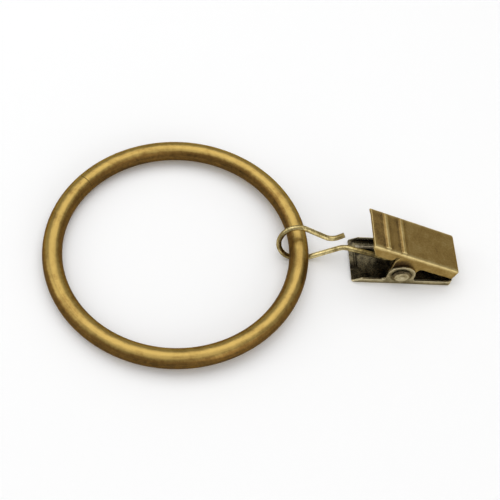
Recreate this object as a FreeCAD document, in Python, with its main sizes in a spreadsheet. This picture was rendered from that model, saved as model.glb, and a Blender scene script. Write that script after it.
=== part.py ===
import FreeCAD, Part
import math
import os
import re
import Sketcher

# A curtain ring with a spring clip, lying on a table.
# The origin is on the table under the ring's centre, +X runs from there to the clip and +Z is up.
# The clip's pieces are drawn about the pivot pin, and then placed at it.

# Driving sizes, in millimetres and degrees
SIZES = {
    # Ring: a round rod bent to a circle, its ends butted
    "ring_radius": 27.6,
    "ring_rod": 4.4,
    "seam_gap": 0.12,
    "seam_angle": 142,
    # Hook: one wire, with a loop that leans back round the ring
    "hook_wire": 1.2,
    "hook_slack": 0.25,
    "hook_reach": 23.2,
    "loop_radius": 4.2,
    "loop_back": 0.4,
    "lean_angle": 21,
    "tail_run": 7.4,
    "tail_rise": 5.4,
    "tip_run": 10.1,
    "tip_rise": 6.9,
    "tail_bend": 3.5,
    "foot_run": 2.0,
    "foot_bend": 4.0,
    "kink_run": 10.4,
    "kink_rise": 3.6,
    "kink_bend": 4.0,
    "eye_offset": 2.3,
    "eye_slack": 0.08,
    "neck_run": 3.6,
    "neck_bend": 3.0,
    "eye_angle": 40,
    # Sheet of both jaws, and the room between their ears
    "sheet_gauge": 0.5,
    "ear_slack": 0.1,
    # Lower jaw, measured from the pin
    "pin_height": 3.9,
    "lower_handle": 10.8,
    "lower_tip": 12.5,
    "wall_height": 1.6,
    "wall_setback": 0.5,
    "wall_slant": 1.8,
    "lip_height": 1.9,
    "lower_ear": 3.2,
    "ear_blend": 1.0,
    "handle_corner": 0.6,
    "bead_setback": 1.3,
    "bead_length": 5.0,
    "lower_bend": 0.45,
    "lip_corner": 0.7,
    # Upper jaw, measured from the pin along and across its own plate
    "jaw_width": 10.3,
    "slope_angle": 23.5,
    "plate_height": 6.4,
    "upper_handle": 11.9,
    "upper_tip": 11.95,
    "front_lean": 0.45,
    "flange_depth": 3.1,
    "upper_ear": 2.9,
    "tab_length": 7.0,
    "tab_corner": 2.4,
    "relief_width": 0.8,
    "relief_depth": 1.5,
    "upper_bend": 0.6,
    "front_bend": 0.9,
    "flange_round": 0.8,
    "rib_outer": 3.8,
    "rib_inner": 8.1,
    "rib_width": 1.5,
    "rib_height": 0.3,
    "tooth_pitch": 1.9,
    "tooth_notch": 0.62,
    # Pivot pin: a rivet
    "pin_diameter": 2.0,
    "rivet_fit": 0.02,
    "pivot_slack": 0.06,
    "head_diameter": 4.2,
    "head_height": 0.6,
    "dimple_diameter": 1.8,
    "dimple_depth": 0.3,
    # Torsion spring: a coil on the pin and two legs
    "spring_wire": 0.8,
    "coil_radius": 1.75,
    "coil_pitch": 0.95,
    "coil_offset": 0.45,
    "leg_lower": 9.4,
    "leg_foot": 2.6,
    "foot_turn": 2.0,
    "leg_upper": 9.0,
    "leg_slack": 0.08,
}
NOTCHES = 5
COIL_TURNS = 3

doc = FreeCAD.newDocument("curtain_ring_with_clip")
sheet = doc.addObject("Spreadsheet::Sheet", "sizes")
for row, (alias, number) in enumerate(SIZES.items(), start=1):
    sheet.set(f"A{row}", alias)
    sheet.set(f"B{row}", str(number))
    sheet.setAlias(f"B{row}", alias)
doc.recompute()


def cells(text):
    """Point every size that an expression names at its cell in the sheet."""
    return re.sub(r"[a-z]+_[a-z]+", lambda found: f"sizes.{found.group()}", text)


def bind(item, prop, text):
    item.setExpression(prop, cells(text))


def size(text):
    """The present value of an expression."""
    return float(sheet.evalExpression(cells(text)))


def body_at(label, placement):
    body = doc.addObject("PartDesign::Body", label)
    body.Label = label
    body.Placement = placement
    return body


def sketch_on(body, name, role, lift="0"):
    """A sketch on one of the body's own planes, moved along the plane's normal by lift."""
    sketch = body.newObject("Sketcher::SketchObject", name)
    plane = next(feature for feature in body.Origin.OriginFeatures if feature.Role == role)
    sketch.AttachmentSupport = [(plane, "")]
    sketch.MapMode = "FlatFace"
    bind(sketch, "AttachmentOffset.Base.z", lift)
    return sketch


def hold(sketch, kind, point, text):
    """Bind a point's distance from the sketch's origin, or a circle's radius, to an expression."""
    start = (-1, 1) if kind.startswith("Distance") else ()
    number = sketch.addConstraint(Sketcher.Constraint(kind, *start, *point, size(text)))
    bind(sketch, f"Constraints[{number}]", text)


def outline(sketch, corners):
    """A closed outline of straight sides through corners that are given as pairs of expressions."""
    spots = [FreeCAD.Vector(size(across), size(up), 0) for across, up in corners]
    last = len(spots) - 1
    for number, spot in enumerate(spots):
        following = spots[number + 1] if number < last else spots[0]
        sketch.addGeometry(Part.LineSegment(spot, following))
    for number in range(len(spots)):
        following = number + 1 if number < last else 0
        sketch.addConstraint(Sketcher.Constraint("Coincident", number, 2, following, 1))
    for number, (across, up) in enumerate(corners):
        hold(sketch, "DistanceX", (number, 1), across)
        hold(sketch, "DistanceY", (number, 1), up)


def circle(sketch, across, up, radius):
    spot = FreeCAD.Vector(size(across), size(up), 0)
    number = sketch.addGeometry(Part.Circle(spot, FreeCAD.Vector(0, 0, 1), size(radius)))
    hold(sketch, "DistanceX", (number, 3), across)
    hold(sketch, "DistanceY", (number, 3), up)
    hold(sketch, "Radius", (number,), radius)


def pad(body, sketch, width):
    """Raise a sketch by the same amount on both sides of its plane."""
    feature = body.newObject("PartDesign::Pad", "pad_" + sketch.Name)
    feature.Profile = sketch
    feature.Midplane = True
    bind(feature, "Length", width)
    return feature


def pocket(body, sketch, width):
    """Cut a sketch away by the same amount on both sides of its plane."""
    feature = body.newObject("PartDesign::Pocket", "cut_" + sketch.Name)
    feature.Profile = sketch
    feature.Midplane = True
    bind(feature, "Length", width)
    return feature


def fillet(body, name, radius, wanted):
    """Round every straight edge whose middle and direction pass the test."""
    doc.recompute()
    base = body.Tip
    edges = []
    for number, edge in enumerate(base.Shape.Edges, start=1):
        middle = edge.valueAt((edge.FirstParameter + edge.LastParameter) / 2)
        if edge.Curve.TypeId == "Part::GeomLine" and wanted(middle, edge.Curve.Direction):
            edges.append(f"Edge{number}")
    feature = body.newObject("PartDesign::Fillet", name)
    feature.Base = (base, edges)
    bind(feature, "Radius", radius)


def near(one, other):
    return abs(one - other) < 0.01


def bent_wire(spots, bends):
    """A path of straight runs through the spots, with a tangent arc at each inner one."""
    edges = []
    start = spots[0]
    for before, corner, after, radius in zip(spots, spots[1:], spots[2:], bends):
        towards = (before - corner).normalize()
        away = (after - corner).normalize()
        half = towards.getAngle(away) / 2
        first = corner + towards * (radius / math.tan(half))
        second = corner + away * (radius / math.tan(half))
        inward = (towards + away).normalize()
        middle = corner + inward * (radius / math.sin(half) - radius)
        edges.append(Part.LineSegment(start, first).toShape())
        edges.append(Part.Arc(first, middle, second).toShape())
        start = second
    edges.append(Part.LineSegment(start, spots[-1]).toShape())
    return edges


def wire_along(label, edges, diameter):
    """A round wire of the given diameter along a path of joined edges."""
    path = doc.addObject("Part::Feature", label + "_path")
    path.Shape = Part.Wire(edges)
    section = doc.addObject("Part::Circle", label + "_section")
    bind(section, "Radius", diameter + " / 2")
    first = edges[0]
    start = first.valueAt(first.FirstParameter)
    ahead = first.tangentAt(first.FirstParameter)
    section.Placement = FreeCAD.Placement(start, FreeCAD.Rotation(FreeCAD.Vector(0, 0, 1), ahead))
    wire = doc.addObject("Part::Sweep", label)
    wire.Label = label
    wire.Sections = [section]
    wire.Spine = (path, [f"Edge{number}" for number in range(1, len(edges) + 1)])
    wire.Solid = True
    wire.Frenet = False
    return wire


# Ring: it lies on the table on its far side, and on the hook's wire on the clip's side
tilt = math.asin(size("(hook_wire + hook_slack) / (2 * ring_radius)"))
ring_height = size("(ring_rod + hook_wire + hook_slack) / 2")
ring = doc.addObject("Part::Torus", "ring")
ring.Label = "ring"
bind(ring, "Radius1", "ring_radius")
bind(ring, "Radius2", "ring_rod / 2")
bind(ring, "Angle3", "360 - seam_gap / ring_radius * 180 / pi")
ring.Placement = FreeCAD.Placement(
    FreeCAD.Vector(0, 0, ring_height),
    FreeCAD.Rotation(FreeCAD.Vector(0, 1, 0), -math.degrees(tilt))
    * FreeCAD.Rotation(FreeCAD.Vector(0, 0, 1), size("seam_angle")),
)

# The pin's place, which the whole clip is drawn about
rod_side = size("ring_radius") * math.cos(tilt)
pin_across = rod_side + size("hook_reach")
floor_under_pin = FreeCAD.Placement(FreeCAD.Vector(pin_across, 0, 0), FreeCAD.Rotation())
pin_centre = FreeCAD.Vector(pin_across, 0, size("pin_height"))

# Lower jaw: a channel bent up from one sheet, with a flat floor, low walls, ears and a front lip
lower = body_at("lower_jaw", floor_under_pin)
inner_width = "jaw_width + 2 * ear_slack"
outer_width = "jaw_width + 2 * ear_slack + 2 * sheet_gauge"
side = sketch_on(lower, "lower_side", "XZ_Plane")
outline(side, [
    ("-lower_handle", "0"),
    ("lower_tip", "0"),
    ("lower_tip", "lip_height"),
    ("lower_tip - 2 * sheet_gauge", "wall_height"),
    ("-(lower_handle - wall_setback - wall_slant)", "wall_height"),
    ("-(lower_handle - wall_setback)", "sheet_gauge"),
    ("-lower_handle", "sheet_gauge"),
])
pad(lower, side, outer_width)
web = sketch_on(lower, "lower_ear_web", "XZ_Plane")
outline(web, [
    ("-lower_ear", "sheet_gauge"),
    ("lower_ear", "sheet_gauge"),
    ("lower_ear", "pin_height"),
    ("-lower_ear", "pin_height"),
])
pad(lower, web, outer_width)
disc = sketch_on(lower, "lower_ear_disc", "XZ_Plane")
circle(disc, "0", "pin_height", "lower_ear")
pad(lower, disc, outer_width)
fillet(lower, "lower_ear_blend", "ear_blend", lambda middle, along: (
    near(middle.z, size("wall_height")) and near(abs(middle.x), size("lower_ear"))))
fillet(lower, "lower_handle_corners", "handle_corner", lambda middle, along: (
    near(middle.x, -size("lower_handle")) and near(abs(along.z), 1)))
fillet(lower, "lower_lip_corners", "lip_corner", lambda middle, along: (
    near(middle.x, size("lower_tip")) and near(abs(along.z), 1)))
fillet(lower, "lower_bends", "lower_bend", lambda middle, along: (
    near(middle.z, 0) and near(abs(along.x), 1)))
trough = sketch_on(lower, "lower_trough", "XZ_Plane")
outline(trough, [
    ("-2 * lower_handle", "sheet_gauge"),
    ("lower_tip - sheet_gauge", "sheet_gauge"),
    ("lower_tip - sheet_gauge", "pin_height + 2 * lower_ear"),
    ("-2 * lower_handle", "pin_height + 2 * lower_ear"),
])
pocket(lower, trough, inner_width)
bead = sketch_on(lower, "lower_bead", "XZ_Plane")
circle(bead, "-(lower_handle - bead_setback)", "0.9 * sheet_gauge", "0.8 * sheet_gauge")
pad(lower, bead, "bead_length")
rivet_hole = sketch_on(lower, "lower_rivet_hole", "XZ_Plane")
circle(rivet_hole, "0", "pin_height", "pin_diameter / 2 + rivet_fit")
pocket(lower, rivet_hole, "2 * jaw_width")

# Upper jaw: the same sheet bent down, with ears inside the lower ones and a sloping toothed front
upper = body_at("upper_jaw", FreeCAD.Placement(
    pin_centre, FreeCAD.Rotation(FreeCAD.Vector(0, 1, 0), size("slope_angle"))))
under_side = "plate_height - sheet_gauge"
low_edge = "plate_height - flange_depth"
tab_end = "-(upper_handle - tab_length)"
profile = sketch_on(upper, "upper_side", "XZ_Plane")
outline(profile, [
    ("-upper_handle", "plate_height"),
    ("upper_tip", "plate_height"),
    ("upper_tip + front_lean", low_edge),
    ("upper_ear", low_edge),
    ("upper_ear", "0"),
    ("-upper_ear", "0"),
    (tab_end + " + relief_width", low_edge),
    (tab_end + " + relief_width", "plate_height - relief_depth"),
    (tab_end, "plate_height - relief_depth"),
    (tab_end, low_edge),
    ("-(upper_handle - tab_corner)", low_edge),
    ("-upper_handle", "plate_height - flange_depth + tab_corner"),
])
pad(upper, profile, "jaw_width")
knuckle = sketch_on(upper, "upper_ear_disc", "XZ_Plane")
circle(knuckle, "0", "0", "upper_ear")
pad(upper, knuckle, "jaw_width")
rounded = [
    (size(tab_end), size(low_edge)),
    (-size("upper_handle - tab_corner"), size(low_edge)),
    (size("upper_ear"), size(low_edge)),
]
fillet(upper, "upper_flange_rounds", "flange_round", lambda middle, along: (
    any(near(middle.x, across) and near(middle.z, up) for across, up in rounded)))
fillet(upper, "upper_front_bend", "front_bend", lambda middle, along: (
    near(middle.z, size("plate_height")) and near(abs(along.y), 1) and middle.x > 0))
fillet(upper, "upper_bends", "upper_bend", lambda middle, along: (
    near(middle.z, size("plate_height")) and near(abs(along.x), 1)))
rib_radius = "(rib_width ^ 2 / 4 + rib_height ^ 2) / (2 * rib_height)"
rib_places = ("rib_outer", "rib_inner")
for place in rib_places:
    rib = sketch_on(upper, "upper_" + place, "XZ_Plane")
    circle(rib, f"-(upper_handle - {place})", f"plate_height + rib_height - {rib_radius}", rib_radius)
    pad(upper, rib, "jaw_width - 2 * upper_bend")
hollow = sketch_on(upper, "upper_hollow", "XZ_Plane")
front_thickness = "sheet_gauge * sqrt(1 + (front_lean / flange_depth) ^ 2)"
front_slope = "front_lean / flange_depth"
outline(hollow, [
    ("-2 * upper_handle", under_side),
    (f"upper_tip - {front_thickness} + sheet_gauge * {front_slope}", under_side),
    (f"upper_tip - {front_thickness} + (plate_height + 2 * upper_ear) * {front_slope}", "-2 * upper_ear"),
    ("-2 * upper_handle", "-2 * upper_ear"),
])
pocket(upper, hollow, "jaw_width - 2 * sheet_gauge")
for place in rib_places:
    groove = sketch_on(upper, "under_" + place, "XZ_Plane")
    circle(groove, f"-(upper_handle - {place})", f"{under_side} + rib_height - {rib_radius}", rib_radius)
    pocket(upper, groove, "jaw_width - 4 * sheet_gauge")
pin_hole = sketch_on(upper, "upper_pin_hole", "XZ_Plane")
circle(pin_hole, "0", "0", "pin_diameter / 2 + pivot_slack")
pocket(upper, pin_hole, "2 * jaw_width")
teeth = sketch_on(upper, "upper_teeth", "YZ_Plane", "upper_tip + front_lean")
for number in range(NOTCHES):
    circle(teeth, f"{number - (NOTCHES - 1) / 2} * tooth_pitch", low_edge, "tooth_notch")
pocket(upper, teeth, "4 * sheet_gauge")

# Pivot pin: a rivet whose ends are closed over the lower jaw's ears, each with a small dimple
pin = body_at("pivot_pin", FreeCAD.Placement(pin_centre, FreeCAD.Rotation()))
turned = sketch_on(pin, "pin_half", "XY_Plane")
ear_face = f"({outer_width}) / 2"
outline(turned, [
    ("0", f"-({ear_face}) - head_height + dimple_depth"),
    ("dimple_diameter / 2", f"-({ear_face}) - head_height"),
    ("head_diameter / 2 - head_height / 2", f"-({ear_face}) - head_height"),
    ("head_diameter / 2", f"-({ear_face}) - head_height / 2"),
    ("head_diameter / 2", f"-({ear_face})"),
    ("pin_diameter / 2", f"-({ear_face})"),
    ("pin_diameter / 2", ear_face),
    ("head_diameter / 2", ear_face),
    ("head_diameter / 2", f"{ear_face} + head_height / 2"),
    ("head_diameter / 2 - head_height / 2", f"{ear_face} + head_height"),
    ("dimple_diameter / 2", f"{ear_face} + head_height"),
    ("0", f"{ear_face} + head_height - dimple_depth"),
])
shank = pin.newObject("PartDesign::Revolution", "pin_turned")
shank.Profile = turned
shank.ReferenceAxis = (turned, ["V_Axis"])
shank.Angle = 360

# Hook: a loop that leans back round the ring's rod, a flared free end, a kink and an eye on the pin
wire_radius = size("hook_wire / 2")
lean = math.radians(size("lean_angle"))


def on_loop(run, rise):
    """A point of the leaning plane of the loop, from under the ring's rod."""
    return FreeCAD.Vector(rod_side + run, rise * math.sin(lean), wire_radius + rise * math.cos(lean))


loop_radius = size("loop_radius")
loop_centre = (-size("loop_back"), loop_radius)


def on_circle(angle):
    run = loop_centre[0] + loop_radius * math.cos(angle)
    rise = loop_centre[1] + loop_radius * math.sin(angle)
    return on_loop(run, rise)


def touch_angle(run, rise):
    """Where a line from a point touches the top of the loop's circle."""
    across = run - loop_centre[0]
    up = rise - loop_centre[1]
    return math.atan2(up, across) + math.acos(loop_radius / math.hypot(across, up))


tail_corner = (size("tail_run"), size("tail_rise"))
top_touch = touch_angle(*tail_corner)
low_touch = 1.5 * math.pi
half_way = (top_touch + low_touch) / 2
eye_radius = size("(pin_diameter + hook_wire) / 2 + eye_slack")
eye_centre = FreeCAD.Vector(pin_across, -size("eye_offset"), size("pin_height"))


def on_eye(angle):
    return eye_centre + FreeCAD.Vector(math.cos(angle), 0, math.sin(angle)) * eye_radius


neck = eye_centre + FreeCAD.Vector(-size("neck_run"), 0, eye_radius)
eye_end = -math.pi - math.radians(size("eye_angle"))
tail = bent_wire([on_loop(size("tip_run"), size("tip_rise")), on_loop(*tail_corner), on_circle(top_touch)],
                 [size("tail_bend")])
bow = Part.Arc(on_circle(top_touch), on_circle(half_way), on_circle(low_touch)).toShape()
shank_corners = [on_loop(size("foot_run"), 0), on_loop(size("kink_run"), size("kink_rise")), neck]
shank_runs = bent_wire([on_circle(low_touch), *shank_corners, on_eye(math.pi / 2)],
                       [size("foot_bend"), size("kink_bend"), size("neck_bend")])
eye_half = (math.pi / 2 + eye_end) / 2
eye = Part.Arc(on_eye(math.pi / 2), on_eye(eye_half), on_eye(eye_end)).toShape()
hook = wire_along("hook", tail + [bow] + shank_runs + [eye], "hook_wire")

# Torsion spring: a coil on the pin, one leg down to the lower handle and one up to the upper handle
coil_radius = size("coil_radius")
leg_rest = size("sheet_gauge + spring_wire / 2 + leg_slack")
lower_end = FreeCAD.Vector(-size("leg_lower"), 0, leg_rest - size("pin_height"))
lower_heel = lower_end + FreeCAD.Vector(size("leg_foot"), 0, 0)
slope = math.radians(size("slope_angle"))
under_plate = size("plate_height - sheet_gauge - spring_wire / 2 - leg_slack")
upper_end = FreeCAD.Vector(
    -size("leg_upper") * math.cos(slope) + under_plate * math.sin(slope),
    0,
    size("leg_upper") * math.sin(slope) + under_plate * math.cos(slope),
)


def leg_touch(end, turn):
    """The angle at which a leg's line from its end touches the coil."""
    return math.atan2(end.z, end.x) + turn * math.acos(coil_radius / math.hypot(end.x, end.z))


def leg_drift(end):
    """How far a leg moves along the pin, keeping the coil's own lead."""
    return pitch / (2 * math.pi * coil_radius) * math.sqrt(end.x ** 2 + end.z ** 2 - coil_radius ** 2)


def on_coil(angle, side):
    return pin_centre + FreeCAD.Vector(coil_radius * math.cos(angle), side, coil_radius * math.sin(angle))


pitch = size("coil_pitch")
low_angle = leg_touch(lower_heel, 1)
high_angle = leg_touch(upper_end, -1)
wound = (high_angle - low_angle) % (2 * math.pi) + 2 * math.pi * COIL_TURNS
near_side = -size("coil_offset")
far_side = near_side + pitch * wound / (2 * math.pi)
coil = Part.makeHelix(pitch, far_side - near_side, coil_radius)
coil.Placement = FreeCAD.Placement(
    pin_centre + FreeCAD.Vector(0, near_side, 0),
    FreeCAD.Rotation(FreeCAD.Vector(1, 0, 0), -90)
    * FreeCAD.Rotation(FreeCAD.Vector(0, 0, 1), -math.degrees(high_angle)),
)
upper_end.y = near_side - leg_drift(upper_end)
lower_heel.y = far_side + leg_drift(lower_heel)
lower_end.y = lower_heel.y
upper_leg = Part.LineSegment(pin_centre + upper_end, on_coil(high_angle, near_side)).toShape()
lower_leg = bent_wire([on_coil(low_angle, far_side), pin_centre + lower_heel, pin_centre + lower_end],
                      [size("foot_turn")])
spring = wire_along("torsion_spring", [upper_leg] + coil.Edges + lower_leg, "spring_wire")

doc.recompute()
parts = [ring, hook, lower, upper, pin, spring]
faulty = [item.Name for item in doc.Objects if {"Invalid", "Error"} & set(item.State)]
faulty += [part.Name for part in parts if part.Shape.isNull() or not part.Shape.isValid()]
if faulty:
    raise RuntimeError("not built: " + ", ".join(faulty))
os.makedirs("parts", exist_ok=True)
for part in parts:
    part.Shape.exportStep(os.path.join("parts", part.Label + ".step"))
    print(part.Label, len(part.Shape.Solids), round(part.Shape.Volume, 2), part.Shape.BoundBox)
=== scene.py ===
import math

import bpy
from mathutils import Matrix, Vector


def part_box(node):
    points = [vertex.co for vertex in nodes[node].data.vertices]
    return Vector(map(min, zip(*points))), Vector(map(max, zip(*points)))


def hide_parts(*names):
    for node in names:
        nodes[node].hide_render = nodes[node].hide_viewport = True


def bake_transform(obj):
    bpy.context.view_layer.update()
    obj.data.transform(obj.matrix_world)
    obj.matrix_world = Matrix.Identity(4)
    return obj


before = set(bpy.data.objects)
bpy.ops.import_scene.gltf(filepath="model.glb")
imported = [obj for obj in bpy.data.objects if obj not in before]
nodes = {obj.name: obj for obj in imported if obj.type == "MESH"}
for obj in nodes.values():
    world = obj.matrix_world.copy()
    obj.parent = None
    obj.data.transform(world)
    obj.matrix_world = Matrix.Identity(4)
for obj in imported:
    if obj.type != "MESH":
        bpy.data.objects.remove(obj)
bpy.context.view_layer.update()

# Ring
# A round rod of steel bent to a circle, with its two ends butted together, plated in brass and browned.
# Bare brass shows along its upper side and underside and brown along its inner and outer sides: a painted
# highlight where the rod faces the lamps above, and painted shade where its sides face the dark room.


def place(tree, kind, inputs=None, **settings):
    """Adds one shader node, with values or other nodes' sockets put into its inputs."""
    made = tree.nodes.new("ShaderNode" + kind)
    for name, value in settings.items():
        setattr(made, name, value)
    for name, value in (inputs or {}).items():
        if isinstance(value, bpy.types.NodeSocket):
            tree.links.new(value, made.inputs[name])
        else:
            made.inputs[name].default_value = value
    return made


def reckon(tree, operation, *terms, clamp=False):
    """The result of one Math node."""
    return place(tree, "Math", dict(enumerate(terms)), operation=operation, use_clamp=clamp).outputs[0]


def spread(tree, value, low, high, to_low=0.0, to_high=1.0):
    """A value eased from one span to another, and held at its ends."""
    return place(tree, "MapRange", {
        "Value": value, "From Min": low, "From Max": high, "To Min": to_low, "To Max": to_high,
    }, interpolation_type="SMOOTHSTEP").outputs["Result"]


def tint(tree, share, first, second):
    """Two colours mixed by a share."""
    mix = place(tree, "Mix", {"Factor": share}, data_type="RGBA", clamp_factor=True)
    first_colour, second_colour = [socket for socket in mix.inputs if socket.type == "RGBA"]
    tree.links.new(first, first_colour)
    tree.links.new(second, second_colour)
    return next(socket for socket in mix.outputs if socket.type == "RGBA")


def shared_effect(name, inputs, outputs):
    """An empty node group with named sockets, and the sockets to build it between."""
    group = bpy.data.node_groups.new(name, "ShaderNodeTree")
    for label, kind in inputs:
        group.interface.new_socket(label, in_out="INPUT", socket_type="NodeSocket" + kind)
    for label, kind in outputs:
        group.interface.new_socket(label, in_out="OUTPUT", socket_type="NodeSocket" + kind)
    return group, group.nodes.new("NodeGroupInput").outputs, group.nodes.new("NodeGroupOutput").inputs


# Tarnish: the clouds and grains that the colouring bath leaves in brass plating, and stray scratches
CLOUD_SPAN = (0.32, 0.68)
GRAIN_SPAN = (0.3, 0.7)
SCRATCH_SPAN = (0.56, 0.7)
SCRATCH_TURN = (0.3, 0.9, 0.5)
SCRATCH_STRETCH = (1.0, 14.0, 9.0)
tarnish, given, result = shared_effect(
    "tarnish",
    [("Vector", "Vector"), ("Cloud Scale", "Float"), ("Grain Scale", "Float")],
    [("Cloud", "Float"), ("Grain", "Float"), ("Scratch", "Float")],
)
cloud = place(tarnish, "TexNoise", {
    "Vector": given["Vector"], "Scale": given["Cloud Scale"],
    "Detail": 5.0, "Roughness": 0.62, "Distortion": 0.4})
tarnish.links.new(spread(tarnish, cloud.outputs["Fac"], *CLOUD_SPAN), result["Cloud"])
grain = place(tarnish, "TexNoise", {
    "Vector": given["Vector"], "Scale": given["Grain Scale"], "Detail": 3.0, "Roughness": 0.7})
tarnish.links.new(spread(tarnish, grain.outputs["Fac"], *GRAIN_SPAN), result["Grain"])
turned = place(tarnish, "Mapping", {
    "Vector": given["Vector"], "Rotation": SCRATCH_TURN, "Scale": SCRATCH_STRETCH})
scratch = place(tarnish, "TexNoise", {
    "Vector": turned.outputs["Vector"], "Scale": given["Cloud Scale"], "Detail": 4.0, "Roughness": 0.75})
tarnish.links.new(spread(tarnish, scratch.outputs["Fac"], *SCRATCH_SPAN), result["Scratch"])

# Edge rub: where handling reaches an edge and polishes it, and where a hollow keeps its grime
EDGE_SPAN = (0.01, 0.16)
OPEN_SPAN = (0.35, 0.75)
HOLLOW_SPAN = (0.75, 0.2)
edge_rub, given, result = shared_effect(
    "edge_rub",
    [("Radius", "Float"), ("Hollow Depth", "Float")],
    [("Edge", "Float"), ("Hollow", "Float"), ("Normal", "Vector")],
)
rounded = place(edge_rub, "Bevel", {"Radius": given["Radius"]}, samples=8).outputs["Normal"]
flat = place(edge_rub, "NewGeometry").outputs["Normal"]
agree = place(edge_rub, "VectorMath", {0: rounded, 1: flat}, operation="DOT_PRODUCT").outputs["Value"]
turn = spread(edge_rub, reckon(edge_rub, "SUBTRACT", 1.0, agree), *EDGE_SPAN)
hollow = place(edge_rub, "AmbientOcclusion", {"Distance": given["Hollow Depth"]}, samples=8, only_local=True)
opened = spread(edge_rub, hollow.outputs["AO"], *OPEN_SPAN)
edge_rub.links.new(reckon(edge_rub, "MULTIPLY", turn, opened), result["Edge"])
edge_rub.links.new(spread(edge_rub, hollow.outputs["AO"], *HOLLOW_SPAN), result["Hollow"])
edge_rub.links.new(rounded, result["Normal"])

# Antique brass: black bath, brown coat and bare brass in turn, as the rubbing, with painted light added in,
# goes from none to full
BROWN_SPAN = (0.0, 0.5)
BRASS_SPAN = (0.4, 0.95)
METAL_SPAN = (0.0, 0.6)
BATH_METALLIC = 0.7
GRAIN_ROUGHNESS = 0.08
antique, given, result = shared_effect(
    "antique_brass",
    [("Rub And Light", "Float"), ("Grain", "Float"), ("Grain Depth", "Float"), ("Grime", "Float"),
     ("Bath Roughness", "Float"), ("Brass Roughness", "Float"),
     ("Bare Brass", "Color"), ("Brown Coat", "Color"), ("Black Bath", "Color")],
    [("Color", "Color"), ("Roughness", "Float"), ("Metallic", "Float")],
)
grainy = reckon(antique, "SUBTRACT", given["Grain"], 0.5)
uneven = reckon(antique, "MULTIPLY_ADD", grainy, given["Grain Depth"], given["Rub And Light"])
browned = tint(antique, spread(antique, uneven, *BROWN_SPAN), given["Black Bath"], given["Brown Coat"])
rubbed = tint(antique, spread(antique, uneven, *BRASS_SPAN), browned, given["Bare Brass"])
antique.links.new(tint(antique, given["Grime"], rubbed, given["Black Bath"]), result["Color"])
smoothed = spread(antique, uneven, 0.0, 1.0, given["Bath Roughness"], given["Brass Roughness"])
roughened = reckon(antique, "MULTIPLY_ADD", given["Grain"], GRAIN_ROUGHNESS, smoothed)
antique.links.new(roughened, result["Roughness"])
antique.links.new(spread(antique, uneven, *METAL_SPAN, BATH_METALLIC, 1.0), result["Metallic"])


def brass_finish(name, colours, scales, depths, roughness):
    """A brass material with its effects placed. The caller joins up the rubbing and painted light.

    colours: bare brass, brown coat and black bath
    scales: the clouds' and the grains'
    depths: the worn edges' radius, the grimy hollows' depth and how far the grains show
    roughness: the bath's and the bare brass's
    """
    material = bpy.data.materials.new(name)
    material.use_nodes = True
    tree = material.node_tree
    shader = tree.nodes["Principled BSDF"]
    where = place(tree, "TexCoord").outputs["Object"]
    aged = place(tree, "Group", node_tree=tarnish)
    tree.links.new(where, aged.inputs["Vector"])
    aged.inputs["Cloud Scale"].default_value, aged.inputs["Grain Scale"].default_value = scales
    edges = place(tree, "Group", node_tree=edge_rub)
    coat = place(tree, "Group", node_tree=antique)
    edges.inputs["Radius"].default_value, edges.inputs["Hollow Depth"].default_value = depths[:2]
    coat.inputs["Grain Depth"].default_value = depths[2]
    coat.inputs["Bath Roughness"].default_value, coat.inputs["Brass Roughness"].default_value = roughness
    for label, colour in zip(("Bare Brass", "Brown Coat", "Black Bath"), colours):
        coat.inputs[label].default_value = (*colour, 1.0)
    tree.links.new(aged.outputs["Grain"], coat.inputs["Grain"])
    tree.links.new(edges.outputs["Hollow"], coat.inputs["Grime"])
    tree.links.new(coat.outputs["Color"], shader.inputs["Base Color"])
    tree.links.new(coat.outputs["Roughness"], shader.inputs["Roughness"])
    tree.links.new(coat.outputs["Metallic"], shader.inputs["Metallic"])
    shader.inputs["Specular Tint"].default_value = (0.62, 0.50, 0.30, 1.0)
    shader.inputs["Specular IOR Level"].default_value = 0.3
    skin = place(tree, "Bump", {
        "Height": aged.outputs["Grain"], "Normal": edges.outputs["Normal"],
        "Strength": 0.12, "Distance": 0.00005})
    tree.links.new(skin.outputs["Normal"], shader.inputs["Normal"])
    return material, tree, where, aged.outputs, edges.outputs, coat.inputs


def rub_and_light(tree, coat, everywhere, *shares):
    """Joins up how far a finish is rubbed or painted lighter: an amount everywhere, and each mask times its
    weight.
    """
    total = everywhere
    for mask, weight in shares:
        total = reckon(tree, "MULTIPLY_ADD", mask, weight, total)
    tree.links.new(reckon(tree, "ADD", total, 0.0, clamp=True), coat["Rub And Light"])


def dress(node, material):
    """Gives a CAD node its finish."""
    nodes[node].data.materials.clear()
    nodes[node].data.materials.append(material)


_, ring_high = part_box("ring")
ROD_RADIUS = 0.0022
ring_radius = ring_high.y - ROD_RADIUS
# Painted light: the next span and levels pale the rod along its upper side and underside, a painted
# highlight, and brown its inner and outer sides, painted shade.
PAINTED_TOP_SPAN = (0.94, 0.4)
TOP_CLOUD = 0.18
SIDE_CLOUD = 0.1
PAINTED_SIDE_SHADE = 0.19
STREAK_RUB = 0.5
STREAK_LENGTH = 3.0
STREAK_FINENESS = 3600.0
DENT_SCALE = 420.0
DENT_DEPTH = 0.0001
ring_brass, tree, where, aged, edges, coat = brass_finish(
    "ring_brass",
    colours=((0.415, 0.283, 0.082), (0.2, 0.108, 0.027), (0.046, 0.025, 0.007)),
    scales=(260.0, 1500.0), depths=(0.0001, 0.0006, 0.16), roughness=(0.4, 0.27))
axes = place(tree, "SeparateXYZ", {"Vector": where}).outputs
flat_way = place(tree, "CombineXYZ", {"X": axes["X"], "Y": axes["Y"]}).outputs["Vector"]
out_from_axis = place(tree, "VectorMath", {0: flat_way}, operation="LENGTH").outputs["Value"]
off_middle = reckon(tree, "SUBTRACT", out_from_axis, ring_radius)
sideways = reckon(tree, "DIVIDE", reckon(tree, "ABSOLUTE", off_middle), ROD_RADIUS)
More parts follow.
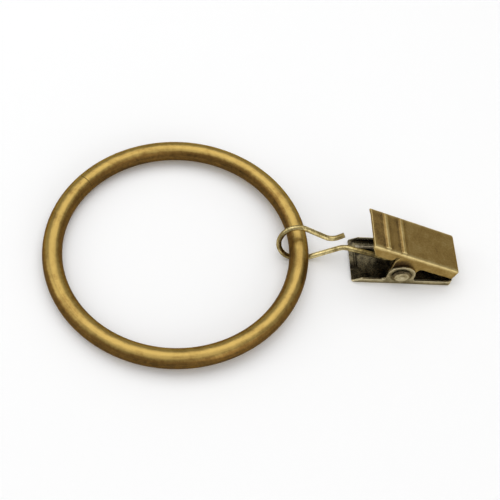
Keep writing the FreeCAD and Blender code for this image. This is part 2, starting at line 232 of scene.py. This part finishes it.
# Painted highlight and painted shade: paler where the rod faces up and down, browner at its inner and outer
# sides.
painted_top_light = spread(tree, sideways, *PAINTED_TOP_SPAN)
outward = place(tree, "VectorMath", {0: flat_way}, operation="NORMALIZE").outputs["Vector"]
outward_axes = place(tree, "SeparateXYZ", {"Vector": outward}).outputs
along_rod = place(tree, "CombineXYZ", {
    "X": reckon(tree, "MULTIPLY", outward_axes["X"], STREAK_LENGTH),
    "Y": reckon(tree, "MULTIPLY", outward_axes["Y"], STREAK_LENGTH),
    "Z": reckon(tree, "MULTIPLY", off_middle, STREAK_FINENESS),
}).outputs["Vector"]
streaks = place(tree, "TexNoise", {
    "Vector": along_rod, "W": reckon(tree, "MULTIPLY", axes["Z"], STREAK_FINENESS),
    "Scale": 1.0, "Detail": 3.0,
}, noise_dimensions="4D").outputs["Fac"]
cloud_depth = reckon(tree, "MULTIPLY_ADD", painted_top_light, TOP_CLOUD, SIDE_CLOUD)
rub_and_light(tree, coat, PAINTED_SIDE_SHADE - STREAK_RUB / 2,
    (painted_top_light, 0.53), (aged["Cloud"], cloud_depth), (streaks, STREAK_RUB), (edges["Edge"], 0.3))
dents = place(tree, "TexNoise", {"Vector": where, "Scale": DENT_SCALE, "Detail": 1.0}).outputs["Fac"]
ring_normal = tree.nodes["Principled BSDF"].inputs["Normal"]
dented = place(tree, "Bump", {
    "Height": dents, "Strength": 1.0, "Distance": DENT_DEPTH, "Normal": ring_normal.links[0].from_socket})
tree.links.new(dented.outputs["Normal"], ring_normal)
dress("ring", ring_brass)

# Hook
# One length of brass-plated wire, bent into a loose loop round the ring, a flared free end and an eye
# on the pin. It is rubbed bright along its length, and the end inside the jaws is darkened with painted
# shade.
jaw_low, jaw_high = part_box("lower_jaw")
SHADE_BEFORE_JAW = 0.0025
SHADE_INSIDE_JAW = 0.0035
hook_brass, tree, where, aged, edges, coat = brass_finish(
    "hook_brass",
    colours=((0.74, 0.61, 0.29), (0.25, 0.185, 0.068), (0.035, 0.025, 0.010)),
    scales=(260.0, 2400.0), depths=(0.0001, 0.0008, 0.2), roughness=(0.36, 0.16))
axes = place(tree, "SeparateXYZ", {"Vector": where}).outputs
# Painted shade: the wire darkens towards its eye, where the jaws shadow it.
painted_jaw_shade = spread(tree, axes["X"], jaw_low.x - SHADE_BEFORE_JAW, jaw_low.x + SHADE_INSIDE_JAW)
rub_and_light(tree, coat, 0.45, (painted_jaw_shade, -0.43), (aged["Cloud"], 0.45), (aged["Scratch"], 0.25))
dress("hook", hook_brass)

# Lower jaw
# A channel stamped and bent from thin sheet: floor, low walls, two ears for the rivet and an upturned lip.
# Its inside is almost black, with a blotched floor. Its outside grows paler up the walls, painted light with
# painted shade towards their foot; a painted highlight runs along the near rim and a painted shadow rings
# the rivet.
pin_low, pin_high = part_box("pivot_pin")
pin_middle = (pin_low + pin_high) / 2
head_radius = pin_high.x - pin_middle.x
SHEET = 0.0005
SKIN = 0.0001
WALL_SKIN = 0.00015
WALL_TOP = 0.0014
# Painted light: the outer walls grow paler upwards from painted shade at their foot.
WALL_LIGHT_SPAN = (0.0002, 0.0012)
WALL_LIGHT_LEVELS = (0.18, 0.52)
WALL_CLOUD = 0.32
FLOOR_SPAN = (0.0012, 0.0007)
FLOOR_RUB = (0.05, 0.34)
RIM_HALF_WIDTH = 0.0002
EXPOSED_WEAR = 0.7
COVERED_WEAR = 0.2
RIVET_SHADOW_WIDTH = 0.0008


def off_line(tree, axes, along, up):
    """The distance from a line that runs straight across the clip."""
    away = place(tree, "CombineXYZ", {
        "X": reckon(tree, "SUBTRACT", axes["X"], along), "Z": reckon(tree, "SUBTRACT", axes["Z"], up)})
    return place(tree, "VectorMath", {0: away.outputs["Vector"]}, operation="LENGTH").outputs["Value"]


lower_patina, tree, where, aged, edges, coat = brass_finish(
    "lower_jaw_patina",
    colours=((0.62, 0.54, 0.34), (0.18, 0.15, 0.086), (0.009, 0.007, 0.005)),
    scales=(300.0, 2600.0), depths=(0.00018, 0.0012, 0.1), roughness=(0.24, 0.28))
axes = place(tree, "SeparateXYZ", {"Vector": where}).outputs
on_wall = reckon(tree, "GREATER_THAN", reckon(tree, "ABSOLUTE", axes["Y"]), jaw_high.y - WALL_SKIN)
on_lip = reckon(tree, "GREATER_THAN", axes["X"], jaw_high.x - SKIN)
under = reckon(tree, "LESS_THAN", axes["Z"], jaw_low.z + SKIN)
outer_face = reckon(tree, "MAXIMUM", on_wall, reckon(tree, "MAXIMUM", on_lip, under))
# Painted light up the outer walls, painted shade at their foot.
painted_wall_light = spread(tree, axes["Z"], *WALL_LIGHT_SPAN, *WALL_LIGHT_LEVELS)
outside = reckon(tree, "MULTIPLY_ADD", aged["Cloud"], WALL_CLOUD, painted_wall_light)
inside = reckon(tree, "MULTIPLY", aged["Cloud"], spread(tree, axes["Z"], *FLOOR_SPAN, *FLOOR_RUB))
wear_and_wall_light = spread(tree, outer_face, 0.0, 1.0, inside, outside)
# Painted highlight along the near wall's rim.
painted_rim_highlight = reckon(tree, "COMPARE", axes["Y"], jaw_low.y + SHEET / 2, RIM_HALF_WIDTH)
off_pin = off_line(tree, axes, pin_middle.x, pin_middle.z)
# Painted shadow round the rivet head on the ears.
painted_rivet_shadow = spread(tree, off_pin, head_radius + RIVET_SHADOW_WIDTH, head_radius)
exposed = reckon(tree, "MAXIMUM", outer_face, reckon(tree, "GREATER_THAN", axes["Z"], WALL_TOP))
edge_wear = reckon(tree, "MULTIPLY_ADD", exposed, EXPOSED_WEAR, COVERED_WEAR)
rub_and_light(tree, coat, wear_and_wall_light,
    (painted_rim_highlight, 0.65), (painted_rivet_shadow, -0.55), (edges["Edge"], edge_wear), (aged["Scratch"], 0.12))
dress("lower_jaw", lower_patina)

# Upper jaw
# The same sheet bent the other way, with ears inside the lower ones, two ribs pressed across its handle
# and a toothed front. Its ribs and folds are pale, partly from wear and partly a painted highlight; the
# plate between them is mottled, with painted shade beside each rib, and a painted shadow darkens the ears by
# the rivet.
_, upper_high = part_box("upper_jaw")
JAW_SLOPE = math.radians(23.5)
PLATE_TOP = 0.0064
PANELS = ((-0.0102, 0.0011), (-0.00595, 0.0012))
PANEL_HALF_WIDTH = 0.0042
PANEL_SOFTNESS = 0.0004
RIBS = (-0.0081, -0.0038)
RIB_HALF_WIDTH = 0.00062
RIB_CREST = 0.3 * RIB_HALF_WIDTH
RIB_SHADE_REACH = 0.0018
RIB_DROP = 0.0005
FOLD_WIDTH = 0.0011
FOLD_CREST = 0.0001
EAR_SHADOW_CENTRE = (-0.0018, 0.002)
EAR_SPAN = (0.0031, 0.001)
EAR_RAGGED = 0.0009
upper_brass, tree, where, aged, edges, coat = brass_finish(
    "upper_jaw_brass",
    colours=((0.60, 0.47, 0.21), (0.305, 0.199, 0.065), (0.045, 0.023, 0.008)),
    scales=(300.0, 3000.0), depths=(0.0003, 0.002, 0.2), roughness=(0.46, 0.28))
on_plate = place(tree, "Mapping", {
    "Vector": where, "Location": pin_middle, "Rotation": (0.0, JAW_SLOPE, 0.0)}, vector_type="TEXTURE")
axes = place(tree, "SeparateXYZ", {"Vector": on_plate.outputs["Vector"]}).outputs
aside = reckon(tree, "ABSOLUTE", axes["Y"])
below_plate = reckon(tree, "SUBTRACT", PLATE_TOP, axes["Z"])


def along_from(tree, axes, middle):
    """The distance along the plate from a line across it."""
    return reckon(tree, "ABSOLUTE", reckon(tree, "SUBTRACT", axes["X"], middle))


past_ends = [reckon(tree, "SUBTRACT", along_from(tree, axes, middle), half) for middle, half in PANELS]
past_sides = reckon(tree, "SUBTRACT", aside, PANEL_HALF_WIDTH)
past_panel = reckon(tree, "MAXIMUM", reckon(tree, "MINIMUM", *past_ends), past_sides)
panels = spread(tree, past_panel, PANEL_SOFTNESS, -PANEL_SOFTNESS)
off_rib = reckon(tree, "MINIMUM", *[along_from(tree, axes, middle) for middle in RIBS])
on_top = spread(tree, below_plate, RIB_DROP, 0.0)
# Rib crests: partly wear, partly a painted highlight.
crests = reckon(tree, "MULTIPLY", spread(tree, off_rib, RIB_HALF_WIDTH, RIB_CREST), on_top)
# Painted shade beside each rib.
painted_rib_shade = reckon(tree, "MULTIPLY", spread(tree, off_rib, RIB_SHADE_REACH, RIB_HALF_WIDTH), on_top)
off_fold = reckon(tree, "MAXIMUM", below_plate, reckon(tree, "SUBTRACT", upper_high.y, aside))
# Folds: partly wear, partly a painted highlight along the bends.
folds = spread(tree, off_fold, FOLD_WIDTH, FOLD_CREST)
flanks = spread(tree, below_plate, FOLD_WIDTH, 2.0 * FOLD_WIDTH)
# Painted shadow on the ears, in the gap beside the lower ears and the rivet.
off_ear_shadow = reckon(tree, "MULTIPLY_ADD", aged["Cloud"], -EAR_RAGGED, off_line(tree, axes, *EAR_SHADOW_CENTRE))
painted_ear_shadow = spread(tree, off_ear_shadow, *EAR_SPAN)
rub_and_light(tree, coat, 0.37,
    (aged["Cloud"], 0.18), (panels, -0.1), (flanks, 0.03), (crests, 0.42), (painted_rib_shade, -0.16),
    (painted_ear_shadow, -0.45), (edges["Edge"], 0.7), (folds, 0.36), (aged["Scratch"], 0.1))
dress("upper_jaw", upper_brass)

# Pivot pin
# A soft rivet through both pairs of ears, its ends closed over the lower jaw with a dimpled punch.
# Its faces are pale in the middle and darker round their edges.
HEAD_FACE_RADIUS = 0.0014
HEAD_RIM_RADIUS = 0.0019
rivet_brass, tree, where, aged, edges, coat = brass_finish(
    "rivet_brass",
    colours=((0.60, 0.53, 0.34), (0.22, 0.17, 0.09), (0.014, 0.011, 0.008)),
    scales=(500.0, 3600.0), depths=(0.0001, 0.0005, 0.25), roughness=(0.4, 0.36))
axes = place(tree, "SeparateXYZ", {"Vector": where}).outputs
off_pin = off_line(tree, axes, pin_middle.x, pin_middle.z)
pale_middle = spread(tree, off_pin, HEAD_RIM_RADIUS, HEAD_FACE_RADIUS)
rub_and_light(tree, coat, 0.05, (pale_middle, 0.5), (aged["Cloud"], 0.35))
dress("pivot_pin", rivet_brass)

# Torsion spring
# Hard wire wound round the pin, with one leg under the upper handle and one on the lower handle.
# It was coloured in the same bath, which has partly worn off. Its coil winds up as the jaws open.
MERGE_DISTANCE = 0.000002
SMOOTH_BELOW = math.radians(40)
spring_wire, tree, where, aged, edges, coat = brass_finish(
    "spring_wire",
    colours=((0.62, 0.56, 0.42), (0.2, 0.17, 0.11), (0.014, 0.011, 0.008)),
    scales=(420.0, 3000.0), depths=(0.0001, 0.0008, 0.2), roughness=(0.36, 0.3))
rub_and_light(tree, coat, 0.4, (aged["Cloud"], 0.35))
bpy.ops.object.select_all(action="DESELECT")
spring = nodes["torsion_spring"].copy()
spring.data = nodes["torsion_spring"].data.copy()
spring.name = "torsion_spring_wound"
for key in list(spring.keys()):
    del spring[key]
spring.parent = None
bpy.context.scene.collection.objects.link(spring)
bpy.context.view_layer.objects.active = spring
spring.select_set(True)
spring.data.materials.clear()
spring.data.materials.append(spring_wire)
bpy.ops.object.mode_set(mode="EDIT")
bpy.ops.mesh.select_all(action="SELECT")
bpy.ops.mesh.customdata_custom_splitnormals_clear()
bpy.ops.mesh.remove_doubles(threshold=MERGE_DISTANCE)
bpy.ops.object.mode_set(mode="OBJECT")
bpy.ops.object.shade_smooth_by_angle(angle=SMOOTH_BELOW)
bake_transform(spring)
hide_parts("torsion_spring")

# Studio
# A white table under two wide soft lamps, one behind and one in front, and weaker ones low in front
# and at the left. A camera looks down on it from close in front. None of it belongs to the part.
FLOOR_SIZE = 6.0
FLOOR_GAP = 0.00002
bpy.ops.object.select_all(action="DESELECT")
bpy.ops.mesh.primitive_plane_add(size=FLOOR_SIZE, location=(0, 0, -FLOOR_GAP))
floor = bpy.context.object
floor.name = "floor"
floor_white = bpy.data.materials.new("floor_white")
floor_white.use_nodes = True
floor_shader = floor_white.node_tree.nodes["Principled BSDF"]
floor_shader.inputs["Base Color"].default_value = (0.96, 0.96, 0.96, 1.0)
floor_shader.inputs["Roughness"].default_value = 0.9
floor_shader.inputs["Specular IOR Level"].default_value = 0.1
floor.data.materials.append(floor_white)

AIM = Vector((0.0165, 0.0, 0.003))


def soft_lamp(name, spot, width, depth, power):
    """A flat lamp that faces the object."""
    lamp = bpy.data.lights.new(name, "AREA")
    lamp.shape = "RECTANGLE"
    lamp.size = width
    lamp.size_y = depth
    lamp.energy = power
    holder = bpy.data.objects.new(name, lamp)
    holder.location = spot
    holder.rotation_euler = (AIM - Vector(spot)).to_track_quat("-Z", "Y").to_euler()
    bpy.context.scene.collection.objects.link(holder)


soft_lamp("softbox", spot=(0.0, 0.22, 0.6), width=0.9, depth=0.5, power=2.0)
soft_lamp("ceiling", spot=(0.0, -0.22, 0.7), width=0.8, depth=0.5, power=0.9)
soft_lamp("front_fill", spot=(0.42, -0.55, 0.22), width=0.5, depth=0.5, power=1.0)
soft_lamp("left_fill", spot=(-0.55, 0.05, 0.35), width=0.35, depth=0.35, power=0.5)

ROOM_LIGHT = 0.47
world = bpy.data.worlds.new("studio")
world.use_nodes = True
world.node_tree.nodes["Background"].inputs["Color"].default_value = (1.0, 1.0, 1.0, 1.0)
world.node_tree.nodes["Background"].inputs["Strength"].default_value = ROOM_LIGHT
bpy.context.scene.world = world
bpy.context.scene.view_settings.view_transform = "Standard"

EYE = Vector((-0.00459, -0.10832, 0.17186))
PICTURE_RIGHT = Vector((0.9987, 0.0175, 0.0481))
LENS = 64.0
SENSOR = 36.0
NEAREST = 0.005
ahead = (AIM - EYE).normalized()
right = (PICTURE_RIGHT - ahead * PICTURE_RIGHT.dot(ahead)).normalized()
camera_data = bpy.data.cameras.new("camera")
camera_data.sensor_width = SENSOR
camera_data.lens = LENS
camera_data.clip_start = NEAREST
camera = bpy.data.objects.new("camera", camera_data)
camera_axes = Matrix((right, right.cross(ahead), -ahead)).transposed()
camera.matrix_world = Matrix.Translation(EYE) @ camera_axes.to_4x4()
bpy.context.scene.collection.objects.link(camera)
bpy.context.scene.camera = camera
